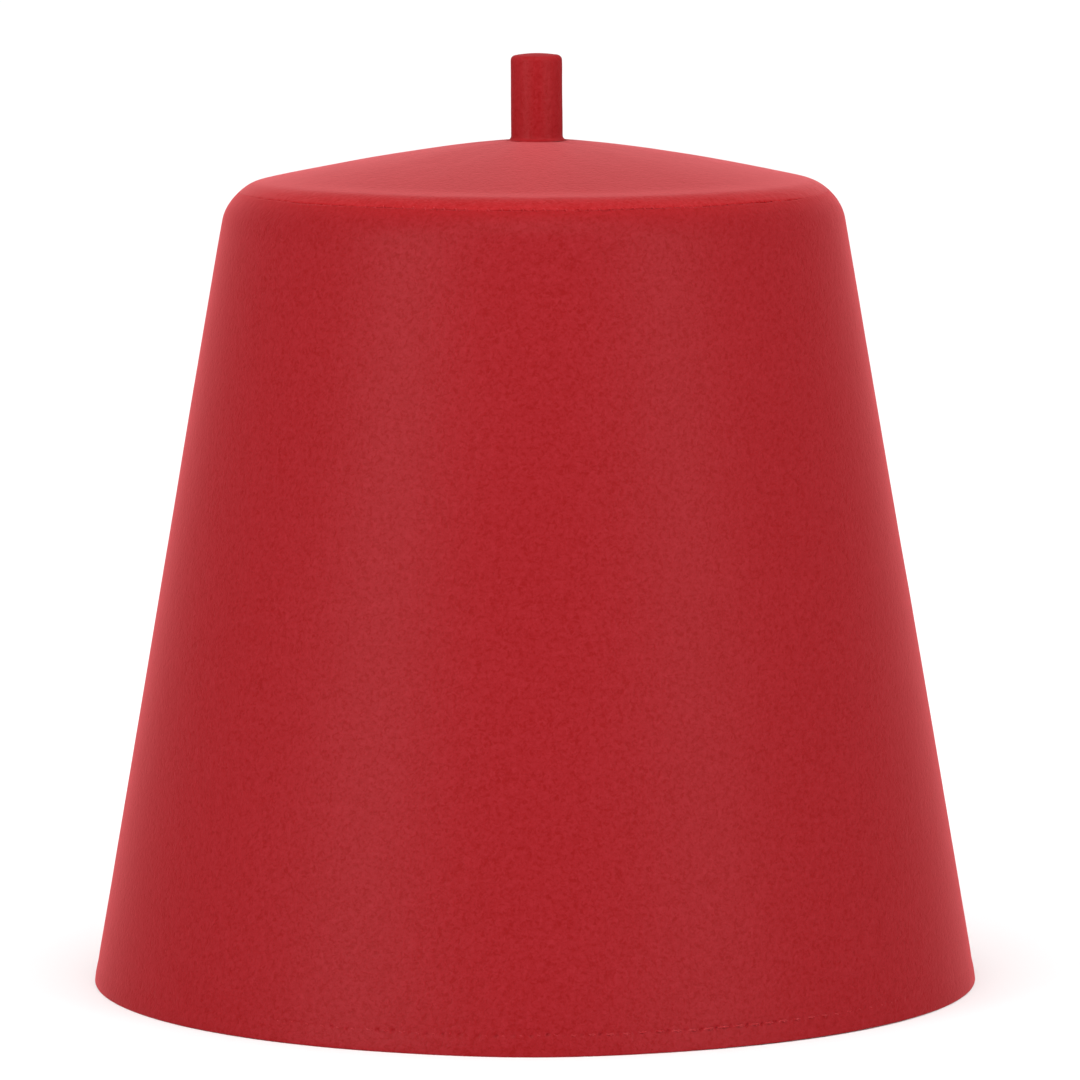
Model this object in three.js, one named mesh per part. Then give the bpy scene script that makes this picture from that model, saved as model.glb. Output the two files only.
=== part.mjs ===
// A fez: a tapered felt hat sewn from a side wall and a round top, with a short felt stalk.
// Millimetres, +Z up. The origin is the centre of the hem, on the surface that the hat rests on.
import * as THREE from 'three';

// Felt
const FELT = 2.4; // thickness of both panels
const FELT_ROUGHNESS = 0.95;
const WALL_RED = 0xab2a2f;
const TOP_RED = 0xb8353b;
const STALK_RED = 0xab2c30;

// Outer outline: a straight tapered wall, a soft corner and a shallow dome
const HEM_RADIUS = 93; // for a head 57 cm round inside the felt
const CROWN_RADIUS = 64; // where the wall's line meets the dome's line
const CROWN_HEIGHT = 167.2; // height of that meeting
const CORNER_ROUND = 10; // radius of the soft corner
const DOME_RISE = 10.1; // from the crown height to the middle of the top
const DOME_POWER = 1.42; // 2 would be a parabola, 1 a cone
const HEM_ROUND = 0.6; // worn arrises of the cut hem

// Seam between wall and top, on the corner, with both edges turned inwards
const SEAM_ELEVATION = THREE.MathUtils.degToRad(51.4); // which way the corner faces at the seam
const SEAM_GAP = 0.3;
const SEAM_LIP = 0.5; // outer rounding where each edge turns inwards
const SEAM_BEND = 1; // bevel on the inner side of that turn
const SEAM_ALLOWANCE = 5; // beyond the felt's inner face

// Stalk
const STALK_FOOT_RADIUS = 5.33;
const STALK_TIP_RADIUS = 5.25;
const STALK_HEIGHT = 17.8; // above the middle of the top
const STALK_EDGE_ROUND = 1.1;
const STALK_CROWNING = 0.3; // its end is slightly domed
const STALK_FLARE = 0.6; // radius of the small fillet round its foot
const STALK_FOOT_EDGE = 0.2; // thickness of the flare's rim
const STALK_SEAT_GAP = 0.35;
const STALK_OFFSET = 0.5; // to the right of the middle, as sewn
const STALK_LEAN = THREE.MathUtils.degToRad(-0.4);

// Facets
const WALL_SIDES = 72;
const STALK_SIDES = 32;
const WALL_ROWS = 4;
const CORNER_STEPS = 7; // outside, from the wall to the seam
const INNER_CORNER_STEPS = 4;
const SHOULDER_STEPS = 4; // outside, from the seam to the dome
const DOME_ROWS = 9;
const ROUND_STEPS = 3;
const LIP_STEPS = 2;
const HALVINGS = 40;

// The wall leans inwards by this angle, which is also the elevation of its outward normal
const WALL_LEAN = Math.atan((HEM_RADIUS - CROWN_RADIUS) / CROWN_HEIGHT);

const direction = (elevation) => new THREE.Vector2(Math.cos(elevation), Math.sin(elevation));

// Points (radius, height) along an arc about a centre, both ends included
function arc(centre, radius, from, to, steps) {
  return Array.from({ length: steps + 1 }, (_, i) => {
    const elevation = THREE.MathUtils.lerp(from, to, i / steps);
    return direction(elevation).multiplyScalar(radius).add(centre);
  });
}

// A point on the wall's line at a height, moved inwards through the felt
function wallPoint(height, depth) {
  const radius = HEM_RADIUS - height * Math.tan(WALL_LEAN) - depth / Math.cos(WALL_LEAN);
  return new THREE.Vector2(radius, height);
}

const domeHeight = (radius) => CROWN_HEIGHT + DOME_RISE * (1 - (radius / CROWN_RADIUS) ** DOME_POWER);

function domeNormal(radius) {
  const slope = (DOME_RISE * DOME_POWER / CROWN_RADIUS) * (radius / CROWN_RADIUS) ** (DOME_POWER - 1);
  return new THREE.Vector2(slope, 1).normalize();
}

// A point on the dome, moved inwards along its normal
function domePoint(radius, depth) {
  return new THREE.Vector2(radius, domeHeight(radius)).addScaledVector(domeNormal(radius), -depth);
}

// The corner's arc touches both lines: halve the interval for the radius where it meets the dome
function solveCorner() {
  const wallNormal = direction(WALL_LEAN);
  const innerLine = wallPoint(0, CORNER_ROUND).dot(wallNormal);
  let low = 0;
  let high = CROWN_RADIUS;
  for (let i = 0; i < HALVINGS; i += 1) {
    const middle = (low + high) / 2;
    if (domePoint(middle, CORNER_ROUND).dot(wallNormal) < innerLine) low = middle;
    else high = middle;
  }
  return { touch: low, centre: domePoint(low, CORNER_ROUND), end: domeNormal(low).angle() };
}

const corner = solveCorner();

// A point beside the seam: depth below the outer face, and side from the seam towards the wall
function seamPoint(depth, side) {
  const outward = direction(SEAM_ELEVATION);
  const downhill = new THREE.Vector2(outward.y, -outward.x);
  return corner.centre.clone().addScaledVector(outward, CORNER_ROUND - depth).addScaledVector(downhill, side);
}

// One panel's turned-in edge, from its outer face to its inner face: sign is 1 for the wall, -1 for the top
function turnedEdge(sign) {
  const near = sign * SEAM_GAP / 2;
  const far = near + sign * FELT;
  const lipCentre = seamPoint(SEAM_LIP, near + sign * SEAM_LIP);
  return [
    ...arc(lipCentre, SEAM_LIP, SEAM_ELEVATION, SEAM_ELEVATION + sign * Math.PI / 2, LIP_STEPS),
    seamPoint(FELT + SEAM_ALLOWANCE, near),
    seamPoint(FELT + SEAM_ALLOWANCE, far),
    seamPoint(FELT + SEAM_BEND, far),
  ];
}

// Angles from the seam at which a panel's outer and inner arcs end, clear of its turned edge
const LIP_ANGLE = (SEAM_GAP / 2 + 2 * SEAM_LIP) / CORNER_ROUND;
const BEND_ANGLE = (SEAM_GAP / 2 + FELT + SEAM_BEND / 2) / (CORNER_ROUND - FELT);

function felt(name, color, geometry) {
  const material = new THREE.MeshStandardMaterial({ color, roughness: FELT_ROUGHNESS, metalness: 0 });
  const mesh = new THREE.Mesh(geometry, material);
  mesh.name = name;
  return mesh;
}

// Turns a section of (radius, height) points about the Z axis
function turned(section, sides) {
  return new THREE.LatheGeometry(section, sides).rotateX(Math.PI / 2);
}

function sideWall() {
  const heights = Array.from({ length: WALL_ROWS }, (_, i) => (CROWN_HEIGHT * (i + 1)) / (WALL_ROWS + 1));
  const outerHem = wallPoint(HEM_ROUND, HEM_ROUND);
  const innerHem = wallPoint(HEM_ROUND, FELT - HEM_ROUND);
  const outside = [
    ...arc(outerHem, HEM_ROUND, -Math.PI / 2, WALL_LEAN, ROUND_STEPS),
    ...heights.map((height) => wallPoint(height, 0)),
    ...arc(corner.centre, CORNER_ROUND, WALL_LEAN, SEAM_ELEVATION - LIP_ANGLE, CORNER_STEPS),
  ];
  const inside = [
    ...arc(corner.centre, CORNER_ROUND - FELT, SEAM_ELEVATION - BEND_ANGLE, WALL_LEAN, INNER_CORNER_STEPS),
    ...heights.reverse().map((height) => wallPoint(height, FELT)),
    ...arc(innerHem, HEM_ROUND, Math.PI + WALL_LEAN, 1.5 * Math.PI, ROUND_STEPS),
  ];
  const section = [...outside, ...turnedEdge(1), ...inside];
  return felt('side_wall', WALL_RED, turned([...section, section[0]], WALL_SIDES));
}

function topPanel() {
  const radii = Array.from({ length: DOME_ROWS }, (_, i) => (corner.touch * i) / DOME_ROWS);
  const section = [
    ...radii.map((radius) => domePoint(radius, FELT)),
    ...arc(corner.centre, CORNER_ROUND - FELT, corner.end, SEAM_ELEVATION + BEND_ANGLE, 1),
    ...turnedEdge(-1).reverse(),
    ...arc(corner.centre, CORNER_ROUND, SEAM_ELEVATION + LIP_ANGLE, corner.end, SHOULDER_STEPS),
    ...radii.reverse().map((radius) => domePoint(radius, 0)),
  ];
  return felt('top_panel', TOP_RED, turned(section, WALL_SIDES));
}

// The stalk stands in its own frame, with its origin at the middle of the top
function stalk() {
  const seat = (radius) => new THREE.Vector2(radius, domeHeight(radius) - domeHeight(0) + STALK_SEAT_GAP);
  const flareRadius = STALK_FOOT_RADIUS + STALK_FLARE;
  const flareCentre = new THREE.Vector2(flareRadius, seat(flareRadius).y + STALK_FOOT_EDGE + STALK_FLARE);
  const endCentre = new THREE.Vector2(
    STALK_TIP_RADIUS - STALK_EDGE_ROUND,
    STALK_HEIGHT - STALK_CROWNING - STALK_EDGE_ROUND,
  );
  const section = [
    seat(0),
    seat(STALK_FOOT_RADIUS / 2),
    seat(flareRadius),
    ...arc(flareCentre, STALK_FLARE, 1.5 * Math.PI, Math.PI, ROUND_STEPS),
    ...arc(endCentre, STALK_EDGE_ROUND, 0, Math.PI / 2, ROUND_STEPS + 1),
    new THREE.Vector2(endCentre.x / 2, STALK_HEIGHT - STALK_CROWNING / 4),
    new THREE.Vector2(0, STALK_HEIGHT),
  ];
  const mesh = felt('stalk', STALK_RED, turned(section, STALK_SIDES));
  mesh.position.set(STALK_OFFSET, 0, domeHeight(0));
  mesh.rotation.y = STALK_LEAN;
  return mesh;
}

const fez = new THREE.Group();
fez.add(sideWall(), topPanel(), stalk());

export default fez;
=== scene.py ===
import math

import bpy
import numpy as np
from mathutils import Matrix, Vector


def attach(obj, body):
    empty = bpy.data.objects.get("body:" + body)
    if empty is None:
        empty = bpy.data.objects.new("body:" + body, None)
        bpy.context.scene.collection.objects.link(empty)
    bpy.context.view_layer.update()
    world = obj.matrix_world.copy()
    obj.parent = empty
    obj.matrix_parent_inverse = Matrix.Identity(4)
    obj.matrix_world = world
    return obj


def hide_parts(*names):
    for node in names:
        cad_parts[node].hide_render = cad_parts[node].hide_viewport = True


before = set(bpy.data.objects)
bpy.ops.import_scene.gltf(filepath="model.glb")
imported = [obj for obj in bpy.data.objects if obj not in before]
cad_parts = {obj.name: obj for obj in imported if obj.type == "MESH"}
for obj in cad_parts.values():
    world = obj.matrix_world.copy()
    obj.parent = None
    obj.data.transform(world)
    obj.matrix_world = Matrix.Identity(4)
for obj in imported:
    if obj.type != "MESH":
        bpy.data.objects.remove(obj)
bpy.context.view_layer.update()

# A plain red felt fez on a pale floor. Sizes are in millimetres until they reach Blender.
MM = 0.001

# Felt and outline, as in the part
FELT = 2.4
HEM_RADIUS = 93.0
CROWN_RADIUS = 64.0
CROWN_HEIGHT = 167.2
CORNER_ROUND = 10.0
DOME_RISE = 10.1
DOME_POWER = 1.42
WALL_LEAN = math.atan((HEM_RADIUS - CROWN_RADIUS) / CROWN_HEIGHT)
HEM_ROUND_OUT = 0.2
HEM_ROUND_IN = 0.6
HALVINGS = 50

# Seam on the corner, with both edges turned inwards
SEAM_ELEVATION = math.radians(51.4)
SEAM_GAP = 0.004
SEAM_LIP = 0.45
SEAM_BEND = 1.0
SEAM_ALLOWANCE = 5.0
SEAM_EDGE_BEVEL = 0.3

# The seam wanders by this much, in slow waves and weaker fast ones round the hat
SEAM_SWAY = 0.12
SEAM_SWAY_WAVES = (37, 160)
SEAM_SWAY_FAST = 0.6

# Seam stitches: how far each reaches to both sides of the seam, how deep its ends dive, and how much
# it slants and lies sunk, each between two limits
SEAM_STITCHES = 172
SEAM_STITCH_UNEVENNESS = 0.16
SEAM_THREAD_RADIUS = 0.13
SEAM_STITCH_REACH = 0.5
SEAM_STITCH_DIVE = 0.42
SEAM_STITCH_SLANTS = (0.2, 0.5)
SEAM_STITCH_SINKS = (0.02, 0.12)

# Along the seam, painted light: the felt is a brighter, purer red where light from above falls on the
# corner. That band's height and spread, and what the felt's colour is multiplied by there
SEAM_HEIGHT = 167.3
SEAM_PAINTED_LIGHT_SPREAD = 2.4
SEAM_PAINTED_LIGHT_ON_WALL = (1.15, 0.55, 0.65)
SEAM_PAINTED_LIGHT_ON_TOP = (1.12, 0.80, 0.85)

# Where the hand-sewn corner leaves its even arc: azimuth, its spread, elevation, its spread, and height.
# In front the top's rim is fuller, and both shoulders seen in the photo are a little lower.
FRONT = -math.pi / 2
CORNER_HUMPS = (
    (FRONT, math.radians(75), math.radians(71), math.radians(21), 0.45),
    (math.pi, math.radians(45), math.radians(45), math.radians(25), -0.32),
    (0.0, math.radians(45), math.radians(45), math.radians(25), -0.12),
)
SEAM_DROP = 0.25
SEAM_DROP_WIDTH = 1.2
SEAM_DROP_SPREAD = 0.5

# Fibres fill the seam's groove unevenly, by this share, more or less by a swing in two kinds of waves,
# and between these limits. They close it altogether round both shoulders, at this angle from the front.
SEAM_FUZZ = 0.5
SEAM_FUZZ_SWING = 0.5
SEAM_FUZZ_WAVES = (61, 290)
SEAM_FUZZ_LIMITS = (0.2, 1.0)
SEAM_CLOSED_AT = math.radians(98)
SEAM_CLOSED_WIDTH = math.radians(38)

# Stalk
STALK_FOOT_RADIUS = 5.4
STALK_TIP_RADIUS = 5.36
STALK_HEIGHT = 17.8
STALK_EDGE_ROUND = 1.1
STALK_CROWNING = 0.35
STALK_FLARE = 0.95
STALK_FLARE_EDGE = 0.03
STALK_SEAT_GAP = 0.01
STALK_OFFSET = 0.65
STALK_LEAN = math.radians(-0.4)
STALK_COLUMNS = 120

# It is cut by hand, so it isn't quite straight or round: waves round it, their height, and their depth
STALK_UNDULATIONS = (
    (5, 7.0, 0.04),
    (13, 2.5, 0.02),
)

# The hem bows out a little in front, and is lifted between its rests in front, behind and at both
# sides. Both fade upwards, over these heights.
HEM_BOW = 1.3
HEM_BOW_WIDTH = math.radians(13)
HEM_BOW_FADE = 20.0
HEM_LIFT = 0.12
HEM_LIFT_FADE = 5.0
HEM_MOVE_TOP = 60.0

# The dome is a little fuller to the right, most of all at this radius
DOME_FULLNESS = 0.24
DOME_FULLNESS_RADIUS = 36.0
DOME_FULLNESS_SPREAD = 26.0
DOME_FULLNESS_WIDTH = 1.2

# Row of hem stitches: its line wanders up and down in waves round the hat
HEM_STITCHES = 167
HEM_STITCH_UNEVENNESS = 0.07
HEM_STITCH_HEIGHT = 4.24
HEM_LINE_SWAY = 0.12
HEM_LINE_WAVES = 23
HEM_PLY_RADIUS = 0.13
HEM_PLY_TWIST = 0.11
HEM_PLY_TURNS = 1.7

# Along that line the felt is drawn in. Below it, at a share of its height, the felt is fuller.
HEM_RELIEF_TOP = 12.0
HEM_DRAWN_IN = 0.03
HEM_DRAWN_IN_SPREAD = 0.8
HEM_FULLNESS = 0.06
HEM_FULLNESS_SPREAD = 1.4
HEM_FULLNESS_AT = 0.45

# Needle holes: most are shallower than the full depth, and off the line by a little. They are deepest
# a little to the right of the front.
HOLE_DEPTH = 0.55
HOLE_RADIUS = 0.3
HOLE_SHARES = (0.25, 1.0)
HOLE_OFF_LINE = 0.09
HOLES_DEEPEST_AT = FRONT + 0.2
HOLES_DEEP_WIDTH = 0.7

# Hem threads: each rises from the felt between two holes, and its ends dive. They stand highest a
# little to the right of the front, and lie lower behind.
THREAD_ENDS = 0.06
THREAD_SINK = 0.06
THREAD_DIVE = 0.75
THREAD_DIVE_POWER = 1.7
THREAD_LIFT = 0.12
THREAD_LIFT_WAVES = 19
THREADS_HIGHEST_AT = FRONT + 0.4
THREADS_HIGH_WIDTH = 0.15
THREADS_HIGH = 0.15
THREADS_LOW = 0.05
THREADS_LOW_BEHIND = 0.15
THREADS_FRONT_WIDTH = 0.8

# Columns round the hat: each count is the coarsest times a power of two
COARSE, MEDIUM, FINE, LIP_COLUMNS, HOLE_COLUMNS = 180, 360, 720, 1440, 2880

# Rows that are put between two others lie within this share of the way, and the corner's rows stop
# this angle from the lips
GRADING_SHARE = 0.6
LIP_CLEARANCE = 0.045

# Felt is never quite even: waves round the hat, their height in millimetres, and their depth
UNDULATIONS = (
    (7, 70.0, 0.10),
    (17, 30.0, 0.05),
    (47, 12.0, 0.022),
    (110, 5.0, 0.012),
)

# Felt's pattern: noise cells in each metre, for soft clouds, clumps of fibres, fibres, and fibres across
CLOUD_SCALE, CLUMP_SCALE, FIBRE_SCALE, CROSSING_SCALE = 26.0, 520.0, 1180.0, 1400.0
CLOUD_TONE, CLUMP_TONE, CROSSING_TONE = 0.12, 0.15, 0.6
CLUMP_RELIEF = 0.5
GRAIN_CONTRAST = 1.15
GRAIN_MIDDLE = 0.56
# The light fibres' far paler green and blue are partly the felt's grain and partly painted glints of the
# fibres
PALE_AND_GLINTING_FIBRES = (1.10, 1.9, 1.75)
DARK_FIBRES = (0.90, 0.1, 0.25)
DENT_DEPTH = 0.1
FELT_ROUGHNESS = 0.45
FELT_SPECULAR = 0.16
FUZZ_ROUGHNESS = 0.36

# Felts: colour, weight and tint of the fuzz, strength of the grain and of its dents, and the seam's
# painted light
FUZZ_TINT = (1.0, 0.172, 0.188)
# The top's fuzz tint is paler, as painted light from above
LIT_TOP_FUZZ_TINT = (1.0, 0.235, 0.25)
FELTS = {
    "wall_felt": ((0.265, 0.0042, 0.0076), 0.83, FUZZ_TINT, 1.4, 0.6, SEAM_PAINTED_LIGHT_ON_WALL),
    # The top's felt is the wall's felt made brighter: painted light from above
    "top_felt": ((0.318, 0.0070, 0.0102), 0.81, LIT_TOP_FUZZ_TINT, 1.7, 0.7, SEAM_PAINTED_LIGHT_ON_TOP),
    "stalk_felt": ((0.304, 0.0050, 0.0080), 0.35, FUZZ_TINT, 1.15, 0.6, SEAM_PAINTED_LIGHT_ON_WALL),
    "thread": ((0.34, 0.0170, 0.0215), 0.83, FUZZ_TINT, 1.4, 0.6, SEAM_PAINTED_LIGHT_ON_WALL),
}

# Camera, fitted to the photo's outline. The hat's axis is a little to the left of the picture's middle.
CAMERA_DISTANCE = 1532.6
CAMERA_HEIGHT = 269.1
CAMERA_PITCH = math.radians(6.561)
CAMERA_ROLL = math.radians(0.091)
FOCAL_PIXELS = 7337.0
PHOTO_PIXELS = 1080
AXIS_LEFT_PIXELS = 5.54
SENSOR = 36.0

# Soft boxes: azimuth from the camera's side and elevation in degrees, size in metres, and watts.
# They stand this many metres from a place inside the hat, which they face.
SOFT_BOXES = (
    ("side_box_left", -46, 14, (0.55, 1.2), 7.36),
    ("side_box_right", 46, 14, (0.55, 1.2), 5.54),
    ("front_box", 0, 50, (1.4, 0.8), 4.77),
)
SOFT_BOX_DISTANCE = 1.6
SOFT_BOX_TARGET = (0.0, 0.0, 0.09)

# Light from above and from the white surroundings, and the pale floor
OVERHEAD_STRENGTH = 0.45
OVERHEAD_SPREAD = math.radians(100)
WORLD_STRENGTH = 1.0
FLOOR_COLOUR = (0.95, 0.95, 0.95, 1.0)
FLOOR_HALF = 9000.0


def direction(elevation):
    return np.array([math.cos(elevation), math.sin(elevation)])


def wall_point(height, depth):
    """A point of the wall in the section: its radius and height, at a depth under the outer face."""
    radius = HEM_RADIUS - height * math.tan(WALL_LEAN) - depth / math.cos(WALL_LEAN)
    return np.array([radius, height])


def dome_height(radius):
    return CROWN_HEIGHT + DOME_RISE * (1 - (radius / CROWN_RADIUS) ** DOME_POWER)


def dome_normal(radius):
    slope = DOME_RISE * DOME_POWER / CROWN_RADIUS * (radius / CROWN_RADIUS) ** (DOME_POWER - 1)
    return np.array([slope, 1.0]) / math.hypot(slope, 1.0)


def dome_point(radius, depth):
    return np.array([radius, dome_height(radius)]) - depth * dome_normal(radius)


def solve_corner():
    """The radius where the dome meets the corner's arc, the arc's centre, and its end's elevation."""
    wall_normal = direction(WALL_LEAN)
    inner_line = wall_point(0, CORNER_ROUND) @ wall_normal
    low, high = 0.0, CROWN_RADIUS
    for _ in range(HALVINGS):
        middle = (low + high) / 2
        if dome_point(middle, CORNER_ROUND) @ wall_normal < inner_line:
            low = middle
        else:
            high = middle
    normal = dome_normal(low)
    return low, dome_point(low, CORNER_ROUND), math.atan2(normal[1], normal[0])


DOME_EDGE, CORNER_CENTRE, DOME_EDGE_ELEVATION = solve_corner()
SEAM_OUTWARD = direction(SEAM_ELEVATION)
SEAM_DOWNHILL = np.array([SEAM_OUTWARD[1], -SEAM_OUTWARD[0]])
LIP_ANGLE = (SEAM_GAP / 2 + SEAM_LIP) / CORNER_ROUND
BEND_ANGLE = (SEAM_GAP / 2 + FELT + SEAM_BEND / 2) / (CORNER_ROUND - FELT)


def seam_point(depth, side):
    """A point by the seam: its depth under the outer face, and its side from the seam to the wall."""
    return CORNER_CENTRE + (CORNER_ROUND - depth) * SEAM_OUTWARD + side * SEAM_DOWNHILL


class Row:
    """One ring of a turned surface: its point and normal in the section, and its columns.

    outer is the share of the outer face's relief that it takes, and lip marks the seam's lips by
    their depth.
    """

    def __init__(self, point, normal, columns, outer=0.0, lip=None):
        self.point = np.asarray(point, float)
        self.normal = np.asarray(normal, float)
        self.columns = columns
        self.outer = outer
        self.lip = lip


def arc_rows(centre, radius, start, end, steps, columns, outer=0.0, side=1.0):
    """Rows along an arc, both ends included. side is -1 where the surface faces the arc's centre."""
    rays = [direction(elevation) for elevation in np.linspace(start, end, steps + 1)]
    return [Row(centre + radius * ray, side * ray, columns, outer) for ray in rays]


def turned_edge(sign):
    """Rows of a panel's turned-in edge, from its outer face to its inner face."""
    near = sign * SEAM_GAP / 2
    far = near + sign * FELT
    facing = -sign * SEAM_DOWNHILL
    lip = seam_point(SEAM_LIP, near + sign * SEAM_LIP)
    end = SEAM_ELEVATION + sign * math.pi / 2
    rows = arc_rows(lip, SEAM_LIP, SEAM_ELEVATION, end, 6, LIP_COLUMNS, 1.0)
    for row in rows:
        row.lip = CORNER_ROUND - (row.point - CORNER_CENTRE) @ SEAM_OUTWARD
    deepest = FELT + SEAM_ALLOWANCE
    bevelled = deepest - SEAM_EDGE_BEVEL
    for depth, columns in ((1.0, LIP_COLUMNS), (2.2, FINE), (bevelled, MEDIUM)):
        rows.append(Row(seam_point(depth, near), facing, columns))
    for side in (near + sign * SEAM_EDGE_BEVEL, far - sign * SEAM_EDGE_BEVEL):
        rows.append(Row(seam_point(deepest, side), -SEAM_OUTWARD, COARSE))
    for depth in (bevelled, FELT + SEAM_BEND):
        rows.append(Row(seam_point(depth, far), -facing, COARSE))
    return rows


def ring_noise(azimuth, height, waves, wavelength, seed):
    """Smooth noise from -1 to 1 on a cylinder: waves cells round it, and cells wavelength high."""
    levels = 64
    grid = np.random.default_rng(seed).uniform(-1, 1, (waves, levels))
    u = np.asarray(azimuth) / (2 * math.pi) * waves
    v = np.asarray(height) / wavelength + 8.0
    iu, iv = np.floor(u).astype(int), np.floor(v).astype(int)
    fu, fv = u - iu, v - iv
    fu = fu * fu * fu * (fu * (fu * 6 - 15) + 10)
    fv = fv * fv * fv * (fv * (fv * 6 - 15) + 10)

    def cell(du, dv):
        return grid[(iu + du) % waves, (iv + dv) % levels]

    low = cell(0, 0) * (1 - fu) + cell(1, 0) * fu
    high = cell(0, 1) * (1 - fu) + cell(1, 1) * fu
    return low * (1 - fv) + high * fv


def round_noise(azimuth, waves, seed):
    """Smooth noise from -1 to 1 that changes only with the azimuth."""
    return ring_noise(azimuth, 0.0, waves, 1.0, seed)


def undulation(azimuth, height, layers, seed):
    """How far hand-made felt swells and sinks, in layers of ever finer waves."""
    push = np.zeros_like(azimuth)
    for i, (waves, wavelength, depth) in enumerate(layers):
        push += depth * ring_noise(azimuth, height, waves, wavelength, seed + i)
    return push


def hump(x, spread):
    return np.exp(-((x / spread) ** 2))


def turn_between(azimuth, target):
    """Signed angle from target to azimuth."""
    return (azimuth - target + math.pi) % (2 * math.pi) - math.pi


def spaced(count, seed, unevenness):
    """Azimuths of hand-set stitches, each a little off its even place."""
    shift = np.random.default_rng(seed).uniform(-unevenness, unevenness, count)
    return (np.arange(count) + shift) * 2 * math.pi / count


def nearest(azimuth, places):
    """The number of the stitch nearest to each azimuth."""
    return np.round(azimuth / (2 * math.pi) * len(places)).astype(int) % len(places)


HOLES = spaced(HEM_STITCHES, 11, HEM_STITCH_UNEVENNESS)
HOLE_RISE = np.random.default_rng(12).normal(0, HOLE_OFF_LINE, HEM_STITCHES)
HOLE_SHARE = np.random.default_rng(14).uniform(*HOLE_SHARES, HEM_STITCHES)
HOLE_SHARE *= hump(turn_between(HOLES, HOLES_DEEPEST_AT), HOLES_DEEP_WIDTH)
SEAM_STITCH_PLACES = spaced(SEAM_STITCHES, 13, SEAM_STITCH_UNEVENNESS)


def hem_line(azimuth):
    return HEM_STITCH_HEIGHT + HEM_LINE_SWAY * round_noise(azimuth, HEM_LINE_WAVES, 31)


def hem_relief(azimuth, height):
    """The drawn-in stitch line, the fuller felt below it, and the needle holes."""
    line = hem_line(azimuth)
    relief = HEM_FULLNESS * hump(height - HEM_FULLNESS_AT * line, HEM_FULLNESS_SPREAD)
    relief -= HEM_DRAWN_IN * hump(height - line, HEM_DRAWN_IN_SPREAD)
    hole = nearest(azimuth, HOLES)
    along = turn_between(azimuth, HOLES[hole]) * HEM_RADIUS
    across = height - line - HOLE_RISE[hole]
    depth = HOLE_DEPTH * HOLE_SHARE[hole]
    return relief - depth * np.exp(-(along ** 2 + across ** 2) / HOLE_RADIUS ** 2)


def hem_move(azimuth, height):
    """How far the felt near the hem bows out in front, and is lifted between its resting places."""
    turn = turn_between(azimuth, FRONT)
    bow = HEM_BOW * hump(turn, HEM_BOW_WIDTH) * hump(height, HEM_BOW_FADE)
    lift = HEM_LIFT * np.sin(2 * turn) ** 2 * hump(height, HEM_LIFT_FADE)
    return np.stack([bow, lift], 1)


def seam_sway(azimuth):
    """How far the seam wanders towards the wall."""
    slow, fast = SEAM_SWAY_WAVES
    waves = round_noise(azimuth, slow, 32) + SEAM_SWAY_FAST * round_noise(azimuth, fast, 33)
    return SEAM_SWAY * waves


def seam_closure(azimuth):
    """How far fibres fill the groove between the lips: 0 is open and 1 is level."""
    fuzz = SEAM_FUZZ
    for i, waves in enumerate(SEAM_FUZZ_WAVES):
        fuzz = fuzz + SEAM_FUZZ_SWING * round_noise(azimuth, waves, 34 + i)
    fuzz = np.clip(fuzz, *SEAM_FUZZ_LIMITS)
    aside = np.abs(turn_between(azimuth, FRONT)) - SEAM_CLOSED_AT
    return 1 - (1 - fuzz) * (1 - np.exp(-((aside / SEAM_CLOSED_WIDTH) ** 4)))


def corner_move(azimuth, point):
    """How far the hand-sewn corner leaves its even arc, and how much lower its seam sits in front."""
    arm = point - CORNER_CENTRE
    elevation = math.atan2(arm[1], arm[0])
    outward = direction(elevation)
    downhill = np.array([outward[1], -outward[0]])
    push = np.zeros_like(azimuth)
    for place, width, facing, tightness, height in CORNER_HUMPS:
        near = np.exp(-np.abs(turn_between(azimuth, place) / width) ** 3)
        push += height * near * hump(elevation - facing, tightness)
    drop = SEAM_DROP * hump(turn_between(azimuth, FRONT), SEAM_DROP_WIDTH)
    drop *= hump(elevation - SEAM_ELEVATION, SEAM_DROP_SPREAD)
    return push[:, None] * outward + drop[:, None] * downhill


def dome_fullness(azimuth, radius, height):
    """How much fuller the dome is to the right. It comes in over the corner."""
    rise = min(max((height - CORNER_CENTRE[1]) / CORNER_ROUND, 0.0), 1.0)
    to_the_right = hump(turn_between(azimuth, 0.0), DOME_FULLNESS_WIDTH)
    return DOME_FULLNESS * rise * to_the_right * hump(radius - DOME_FULLNESS_RADIUS, DOME_FULLNESS_SPREAD)


def hat_relief(azimuth, row):
    """How far a row's points move outwards and along the seam's slope."""
    radius, height = row.point
    push = undulation(azimuth, height + HEM_RADIUS - radius, UNDULATIONS, 40)
    if height < HEM_RELIEF_TOP:
        push += hem_relief(azimuth, height)
    push += dome_fullness(azimuth, radius, height)
    facing = row.normal if row.lip is None else SEAM_OUTWARD
    move = (row.outer * push)[:, None] * facing
    if np.linalg.norm(row.point - CORNER_CENTRE) < 3 * CORNER_ROUND:
        move += corner_move(azimuth, row.point)
    if height < HEM_MOVE_TOP:
        move += hem_move(azimuth, height)
    if row.lip is not None:
        move += seam_sway(azimuth)[:, None] * SEAM_DOWNHILL
        move += (row.lip * seam_closure(azimuth))[:, None] * SEAM_OUTWARD
    return move


def stalk_relief(azimuth, row):
    """How far a row of the hand-cut stub moves outwards."""
    push = undulation(azimuth, row.point[1], STALK_UNDULATIONS, 51)
    return (row.outer * push)[:, None] * row.normal


def ring(row, relief):
    """The row's points in space."""
    azimuth = np.arange(row.columns) * 2 * math.pi / row.columns
    section = row.point + relief(azimuth, row)
    radius, height = section[:, 0], section[:, 1]
    return np.stack([radius * np.cos(azimuth), radius * np.sin(azimuth), height], 1)


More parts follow.
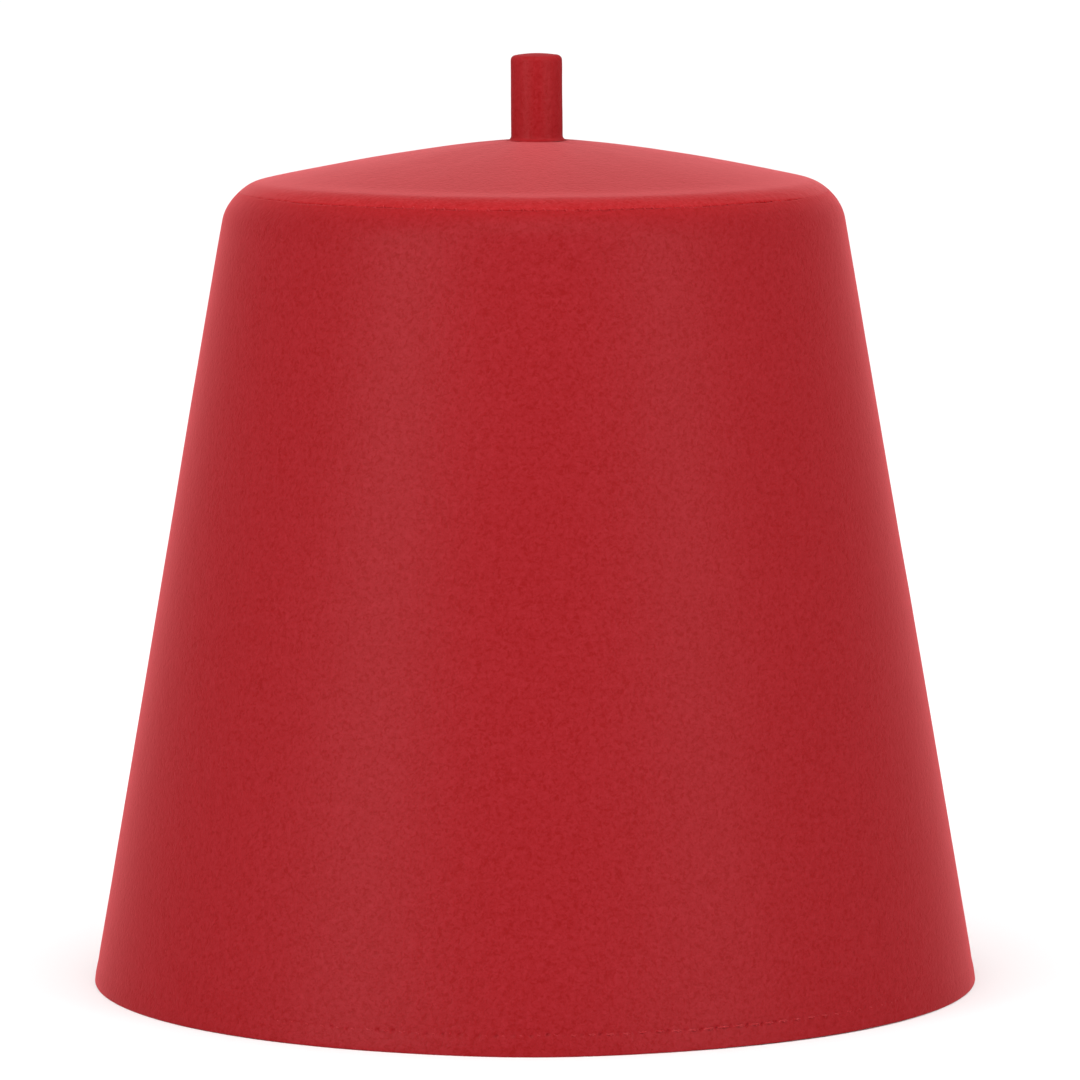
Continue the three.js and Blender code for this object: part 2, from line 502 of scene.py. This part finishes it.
def band_faces(low, low_start, high, high_start):
    """Faces between two rings, which have equal columns or one has twice the other's."""
    if low == high:
        return [
            (low_start + j, low_start + (j + 1) % low, high_start + (j + 1) % low, high_start + j)
            for j in range(low)
        ]
    flip = low > high
    few, few_start, many_start = (high, high_start, low_start) if flip else (low, low_start, high_start)
    faces = []
    for j in range(few):
        a, b = few_start + j, few_start + (j + 1) % few
        c, d, e = (many_start + (2 * j + i) % (2 * few) for i in range(3))
        for face in ((a, d, c), (a, b, d), (b, e, d)):
            faces.append(face[::-1] if flip else face)
    return faces


def graded(rows):
    """Adds rows where the columns change by more than a factor of two."""
    result = [rows[0]]
    for row in rows[1:]:
        last = result[-1]
        steps = int(round(math.log2(row.columns / last.columns)))
        for i in range(1, abs(steps)):
            share = GRADING_SHARE * i / abs(steps)
            point = last.point * (1 - share) + row.point * share
            columns = last.columns * 2 ** i if steps > 0 else last.columns // 2 ** i
            result.append(Row(point, last.normal, columns, min(last.outer, row.outer)))
        result.append(row)
    return result


def mesh_object(name, points, faces, material):
    mesh = bpy.data.meshes.new(name)
    mesh.from_pydata((np.asarray(points) * MM).tolist(), [], faces)
    mesh.polygons.foreach_set("use_smooth", [True] * len(mesh.polygons))
    mesh.materials.append(material)
    mesh.update()
    obj = bpy.data.objects.new(name, mesh)
    bpy.context.collection.objects.link(obj)
    return obj


def turned_mesh(name, rows, relief, material, closed_by):
    """Turns a section about the Z axis, and closes it on the axis or from its last row to its first."""
    on_axis = closed_by == "axis"
    rows = graded(rows if on_axis else rows + rows[:1])
    if not on_axis:
        rows.pop()
    starts = np.cumsum([0] + [row.columns for row in rows]).tolist()
    points = [ring(row, relief) for row in rows]
    bands = [(i, i + 1) for i in range(len(rows) - 1)]
    if not on_axis:
        bands.append((len(rows) - 1, 0))
    faces = []
    for low, high in bands:
        faces += band_faces(rows[low].columns, starts[low], rows[high].columns, starts[high])
    if on_axis:
        for hub, (row, start) in enumerate(((rows[0], starts[0]), (rows[-1], starts[-2]))):
            centre = starts[-1] + hub
            points.append(np.array([[0.0, 0.0, row.point[1]]]))
            for j in range(row.columns):
                face = (start + j, start + (j + 1) % row.columns, centre)
                faces.append(face if hub else face[::-1])
    points = np.concatenate(points)
    points[:, 2] = np.maximum(points[:, 2], min(row.point[1] for row in rows))
    return mesh_object(name, points, faces, material)


def wall_rows():
    normal = direction(WALL_LEAN)
    outer_hem = wall_point(HEM_ROUND_OUT, HEM_ROUND_OUT)
    inner_hem = wall_point(HEM_ROUND_IN, FELT - HEM_ROUND_IN)
    heights = [(height, FINE) for height in (0.9, 1.5, 2.1, 2.7)] + [(3.1, LIP_COLUMNS)]
    heights += [(height, HOLE_COLUMNS) for height in np.arange(3.45, 5.1, 0.2)]
    heights += [(5.4, LIP_COLUMNS)] + [(height, FINE) for height in (5.9, 6.6, 7.5, 8.6)]
    heights += [(height, MEDIUM) for height in np.linspace(10, 155, 54)]
    rows = arc_rows(outer_hem, HEM_ROUND_OUT, -math.pi / 2, WALL_LEAN, 4, FINE, 0.6)
    rows += [Row(wall_point(height, 0), normal, columns, 1.0) for height, columns in heights]
    seam_start = SEAM_ELEVATION - LIP_ANGLE - LIP_CLEARANCE
    rows += arc_rows(CORNER_CENTRE, CORNER_ROUND, WALL_LEAN, seam_start, 14, FINE, 1.0)
    rows += turned_edge(1)
    inner_radius = CORNER_ROUND - FELT
    bend = SEAM_ELEVATION - BEND_ANGLE
    rows += arc_rows(CORNER_CENTRE, inner_radius, bend, WALL_LEAN, 4, COARSE, side=-1.0)
    rows += [Row(wall_point(height, FELT), -normal, COARSE) for height in np.linspace(150, 4, 24)]
    rows += arc_rows(inner_hem, HEM_ROUND_IN, math.pi + WALL_LEAN, 1.5 * math.pi, 4, MEDIUM)
    return rows


def top_rows():
    inner_radius = CORNER_ROUND - FELT
    bend = SEAM_ELEVATION + BEND_ANGLE
    seam_end = SEAM_ELEVATION + LIP_ANGLE + LIP_CLEARANCE
    inside = np.linspace(4.0, DOME_EDGE, 16, endpoint=False)
    outside = np.linspace(DOME_EDGE - 1.0, 3.0, 40)
    rows = [Row(dome_point(radius, FELT), -dome_normal(radius), COARSE) for radius in inside]
    rows += arc_rows(CORNER_CENTRE, inner_radius, DOME_EDGE_ELEVATION, bend, 2, COARSE, side=-1.0)
    rows += turned_edge(-1)[::-1]
    rows += arc_rows(CORNER_CENTRE, CORNER_ROUND, seam_end, DOME_EDGE_ELEVATION, 9, FINE, 1.0)
    for radius in outside:
        columns = MEDIUM if radius > 15 else COARSE
        rows.append(Row(dome_point(radius, 0), dome_normal(radius), columns, 1.0))
    return rows


def stalk_rows():
    """The stub in its own frame, with its origin at the middle of the top."""
    def seat(radius):
        return np.array([radius, dome_height(radius) - dome_height(0) + STALK_SEAT_GAP])

    flare_radius = STALK_FOOT_RADIUS + STALK_FLARE
    flare = seat(flare_radius) + np.array([0.0, STALK_FLARE_EDGE + STALK_FLARE])
    tip_height = STALK_HEIGHT - STALK_CROWNING
    end = np.array([STALK_TIP_RADIUS - STALK_EDGE_ROUND, tip_height - STALK_EDGE_ROUND])
    rows = [Row(seat(radius), (0, -1), STALK_COLUMNS) for radius in (1.0, 3.0, 5.0, flare_radius)]
    rows += arc_rows(flare, STALK_FLARE, 1.5 * math.pi, math.pi, 6, STALK_COLUMNS, side=-1.0)
    for share in np.linspace(0.04, 0.96, 30):
        radius = STALK_FOOT_RADIUS + (STALK_TIP_RADIUS - STALK_FOOT_RADIUS) * share
        height = flare[1] + (end[1] - flare[1]) * share
        rows.append(Row((radius, height), (1, 0), STALK_COLUMNS, 1.0))
    rows += arc_rows(end, STALK_EDGE_ROUND, 0, math.pi / 2, 8, STALK_COLUMNS, 1.0)
    for share in np.linspace(0.9, 0.1, 8):
        height = STALK_HEIGHT - STALK_CROWNING * share ** 2
        rows.append(Row((end[0] * share, height), (0, 1), STALK_COLUMNS))
    return rows


def thread_piece(name, paths, radius, material, sides=6):
    """Short threads as closed tubes, each along its own path of points."""
    points, faces = [], []
    crossing = (0.31, 0.17, 0.93)  # a direction that no thread runs along
    turns = (np.arange(sides) * 2 * math.pi / sides)[:, None]
    for path in paths:
        path = np.asarray(path)
        tangent = np.gradient(path, axis=0)
        tangent /= np.linalg.norm(tangent, axis=1)[:, None]
        across = np.cross(tangent, crossing)
        across /= np.linalg.norm(across, axis=1)[:, None]
        over = np.cross(across, tangent)
        start = len(points) * sides
        for p, a, o in zip(path, across, over):
            points.append(p + radius * (np.cos(turns) * a + np.sin(turns) * o))
        for i in range(len(path) - 1):
            low, high = start + i * sides, start + (i + 1) * sides
            for j in range(sides):
                k = (j + 1) % sides
                faces.append((low + j, low + k, high + k, high + j))
        last = start + (len(path) - 1) * sides
        faces.append(tuple(start + j for j in reversed(range(sides))))
        faces.append(tuple(last + j for j in range(sides)))
    return mesh_object(name, np.concatenate(points), faces, material)


def in_space(section_point, azimuth):
    radius, height = section_point
    return np.array([radius * math.cos(azimuth), radius * math.sin(azimuth), height])


def hem_threads():
    """Two twisted plies for each stitch, which rise from the felt between two needle holes."""
    paths = []
    normal = direction(WALL_LEAN)
    raised = THREAD_LIFT * round_noise(HOLES, THREAD_LIFT_WAVES, 36) - THREADS_LOW
    raised += THREADS_HIGH * hump(turn_between(HOLES, THREADS_HIGHEST_AT), THREADS_HIGH_WIDTH)
    raised -= THREADS_LOW_BEHIND * (1 - hump(turn_between(HOLES, FRONT), THREADS_FRONT_WIDTH))
    for k in range(HEM_STITCHES):
        follower = (k + 1) % HEM_STITCHES
        span = turn_between(HOLES[follower], HOLES[k])
        for ply in (0.0, math.pi):
            path = []
            for share in np.linspace(THREAD_ENDS, 1 - THREAD_ENDS, 15):
                azimuth = HOLES[k] + span * share
                line = float(hem_line(azimuth % (2 * math.pi)))
                height = line + HOLE_RISE[k] * (1 - share) + HOLE_RISE[follower] * share
                twist = ply + 2 * math.pi * HEM_PLY_TURNS * share
                lift = raised[k] - THREAD_SINK - THREAD_DIVE * abs(2 * share - 1) ** THREAD_DIVE_POWER
                lift += HEM_PLY_TWIST * math.sin(twist)
                point = wall_point(height + HEM_PLY_TWIST * math.cos(twist), -lift)
                path.append(in_space(point + hem_move(np.array([azimuth]), height)[0], azimuth))
            paths.append(path)
    return paths


def seam_threads():
    """Small slanted stitches that draw the two lips together, except where fibres cover them."""
    paths = []
    rng = np.random.default_rng(21)
    for place in SEAM_STITCH_PLACES:
        sway = float(seam_sway(place % (2 * math.pi)))
        slant = rng.uniform(*SEAM_STITCH_SLANTS)
        sink = rng.uniform(*SEAM_STITCH_SINKS)
        aside = abs(turn_between(place, FRONT)) - SEAM_CLOSED_AT
        if abs(aside) < SEAM_CLOSED_WIDTH:
            continue
        path = []
        for share in np.linspace(-1, 1, 9):
            depth = sink + SEAM_STITCH_DIVE * abs(share) ** 3
            azimuth = place + slant * share / DOME_EDGE
            point = seam_point(depth, sway + SEAM_STITCH_REACH * share)
            path.append(in_space(point + corner_move(np.array([azimuth]), point)[0], azimuth))
        paths.append(path)
    return paths


class Nodes:
    """Short ways to add and link the nodes of one material."""

    def __init__(self, material):
        material.use_nodes = True
        self.tree = material.node_tree
        self.tree.nodes.clear()

    def add(self, kind, **inputs):
        node = self.tree.nodes.new(kind)
        for name, value in inputs.items():
            self.put(node.inputs[name.replace("_", " ")], value)
        return node

    def put(self, socket, value):
        if isinstance(value, bpy.types.NodeSocket):
            self.tree.links.new(value, socket)
        else:
            socket.default_value = value

    def noise(self, vector, scale, detail=2.0, roughness=0.5, distortion=0.0):
        """Noise about zero, from about -0.5 to 0.5."""
        node = self.add(
            "ShaderNodeTexNoise", Vector=vector, Scale=scale, Detail=detail, Roughness=roughness,
            Distortion=distortion,
        )
        return self.sum(node.outputs["Fac"], -0.5)

    def calc(self, operation, *values):
        node = self.tree.nodes.new("ShaderNodeMath")
        node.operation = operation
        for socket, value in zip(node.inputs, values):
            self.put(socket, value)
        return node.outputs[0]

    def sum(self, *values):
        total = values[0]
        for value in values[1:]:
            total = self.calc("ADD", total, value)
        return total

    def times(self, first, second):
        return self.calc("MULTIPLY", first, second)

    def mix(self, factor, first, second):
        """A colour between two others."""
        node = self.tree.nodes.new("ShaderNodeMix")
        node.data_type = "RGBA"
        self.put(node.inputs["Factor"], factor)
        self.put(node.inputs["A"], first)
        self.put(node.inputs["B"], second)
        return node.outputs["Result"]

    def finish(self, shader):
        output = self.tree.nodes.new("ShaderNodeOutputMaterial")
        self.tree.links.new(shader.outputs["BSDF"], output.inputs["Surface"])


def scaled_colour(colour, factors):
    return (*(c * k for c, k in zip(colour, factors)), 1.0)


def felt_material(name):
    """Matt wool felt: mottled colour, curly fibre grain, a pinkish fuzz at grazing angles, and painted
    light along the seam.
    """
    colour, fuzz, tint, grain, dents, seam_painted_light = FELTS[name]
    material = bpy.data.materials.new(name)
    nodes = Nodes(material)
    place = nodes.add("ShaderNodeTexCoord").outputs["Object"]
    cloud = nodes.noise(place, CLOUD_SCALE, detail=3.0)
    clump = nodes.noise(place, CLUMP_SCALE, detail=0.0, distortion=0.5)
    fibre = nodes.noise(place, FIBRE_SCALE, detail=2.0, roughness=0.55, distortion=0.7)
    crossing = nodes.noise(place, CROSSING_SCALE, detail=0.0, distortion=1.0)
    curl = nodes.calc("ABSOLUTE", crossing)
    weave = nodes.sum(fibre, nodes.times(crossing, CROSSING_TONE), nodes.times(curl, -CROSSING_TONE))
    tone = nodes.sum(nodes.times(cloud, CLOUD_TONE), nodes.times(clump, CLUMP_TONE), weave)
    factor = nodes.sum(nodes.times(tone, GRAIN_CONTRAST * grain), GRAIN_MIDDLE)
    mottled = nodes.mix(factor, scaled_colour(colour, DARK_FIBRES), scaled_colour(colour, PALE_AND_GLINTING_FIBRES))

    # Painted light: a brighter, purer red band along the seam, where light from above falls on the corner
    height = nodes.add("ShaderNodeSeparateXYZ", Vector=place).outputs["Z"]
    away = nodes.times(nodes.sum(height, -SEAM_HEIGHT * MM), 1 / (SEAM_PAINTED_LIGHT_SPREAD * MM))
    near_seam = nodes.calc("EXPONENT", nodes.times(nodes.times(away, away), -1.0))
    painted_seam_light = nodes.tree.nodes.new("ShaderNodeVectorMath")
    painted_seam_light.operation = "MULTIPLY"
    nodes.put(painted_seam_light.inputs[0], mottled)
    nodes.put(painted_seam_light.inputs[1], seam_painted_light)

    relief = nodes.sum(nodes.times(clump, CLUMP_RELIEF), weave)
    dent = nodes.add("ShaderNodeBump", Strength=dents, Distance=DENT_DEPTH * MM, Height=relief)
    nodes.finish(nodes.add(
        "ShaderNodeBsdfPrincipled",
        Base_Color=nodes.mix(near_seam, mottled, painted_seam_light.outputs[0]),
        Roughness=FELT_ROUGHNESS,
        Specular_IOR_Level=FELT_SPECULAR,
        Sheen_Weight=fuzz,
        Sheen_Roughness=FUZZ_ROUGHNESS,
        Sheen_Tint=(*tint, 1.0),
        Normal=dent.outputs["Normal"],
    ))
    return material


def soft_box(name, azimuth, elevation, size, power):
    """A soft light aimed at the hat. Its azimuth is from the camera's side, positive to the right."""
    light = bpy.data.lights.new(name, "AREA")
    light.shape = "RECTANGLE"
    light.size, light.size_y = size
    light.energy = power
    obj = bpy.data.objects.new(name, light)
    bpy.context.collection.objects.link(obj)
    away = Vector((
        math.cos(elevation) * math.sin(azimuth),
        -math.cos(elevation) * math.cos(azimuth),
        math.sin(elevation),
    ))
    obj.location = Vector(SOFT_BOX_TARGET) + SOFT_BOX_DISTANCE * away
    obj.rotation_euler = away.to_track_quat("Z", "Y").to_euler()
    obj.visible_camera = False


def overhead_light():
    """Soft light from straight above."""
    light = bpy.data.lights.new("overhead", "SUN")
    light.energy = OVERHEAD_STRENGTH
    light.angle = OVERHEAD_SPREAD
    obj = bpy.data.objects.new("overhead", light)
    bpy.context.collection.objects.link(obj)


def make_camera():
    camera = bpy.data.cameras.new("camera")
    camera.sensor_width = SENSOR
    camera.lens = FOCAL_PIXELS / PHOTO_PIXELS * SENSOR
    camera.clip_start = 0.05
    camera.clip_end = 50.0
    obj = bpy.data.objects.new("camera", camera)
    bpy.context.collection.objects.link(obj)
    aside = AXIS_LEFT_PIXELS * CAMERA_DISTANCE / FOCAL_PIXELS
    place = Vector((aside, -CAMERA_DISTANCE, CAMERA_HEIGHT)) * MM
    tilt = Matrix.Rotation(math.pi / 2 - CAMERA_PITCH, 4, "X")
    obj.matrix_world = Matrix.Translation(place) @ tilt @ Matrix.Rotation(-CAMERA_ROLL, 4, "Z")
    bpy.context.scene.camera = obj


def make_floor():
    material = bpy.data.materials.new("pale_floor")
    nodes = Nodes(material)
    nodes.finish(nodes.add(
        "ShaderNodeBsdfPrincipled",
        Base_Color=FLOOR_COLOUR,
        Roughness=0.9,
        Specular_IOR_Level=0.1,
    ))
    corners = [(x * FLOOR_HALF, y * FLOOR_HALF, 0) for x, y in ((-1, -1), (1, -1), (1, 1), (-1, 1))]
    floor = mesh_object("floor", corners, [(0, 1, 2, 3)], material)
    floor.visible_glossy = False


def make_world():
    """Even white surroundings. They fill the shadows, and only the soft boxes make highlights."""
    world = bpy.data.worlds.new("studio")
    world.use_nodes = True
    background = world.node_tree.nodes["Background"]
    background.inputs["Color"].default_value = (1.0, 1.0, 1.0, 1.0)
    background.inputs["Strength"].default_value = WORLD_STRENGTH
    world.cycles_visibility.glossy = False
    bpy.context.scene.world = world


def make_studio():
    bpy.context.scene.view_settings.view_transform = "Standard"
    make_world()
    overhead_light()
    for name, azimuth, elevation, size, power in SOFT_BOXES:
        soft_box(name, math.radians(azimuth), math.radians(elevation), size, power)


def make_hat():
    felts = {name: felt_material(name) for name in FELTS}
    thread = felts["thread"]
    wall = turned_mesh("fez_wall", wall_rows(), hat_relief, felts["wall_felt"], "ends")
    top = turned_mesh("fez_top", top_rows(), hat_relief, felts["top_felt"], "axis")
    stalk = turned_mesh("fez_stalk", stalk_rows(), stalk_relief, felts["stalk_felt"], "axis")
    hem_stitches = thread_piece("hem_stitches", hem_threads(), HEM_PLY_RADIUS, thread)
    seam_stitches = thread_piece("seam_stitches", seam_threads(), SEAM_THREAD_RADIUS, thread)
    stalk.location = (STALK_OFFSET * MM, 0.0, dome_height(0) * MM)
    stalk.rotation_euler = (0.0, STALK_LEAN, 0.0)
    pieces = (
        (wall, "side_wall", "wall_felt"),
        (top, "top_panel", "top_felt"),
        (stalk, "stalk", "stalk_felt"),
        (hem_stitches, None, "wall_felt"),
        (seam_stitches, None, "top_felt"),
    )
    for piece, node, slot in pieces:
        if node:
            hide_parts(node)
        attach(piece, "root")


make_camera()
make_floor()
make_studio()
make_hat()
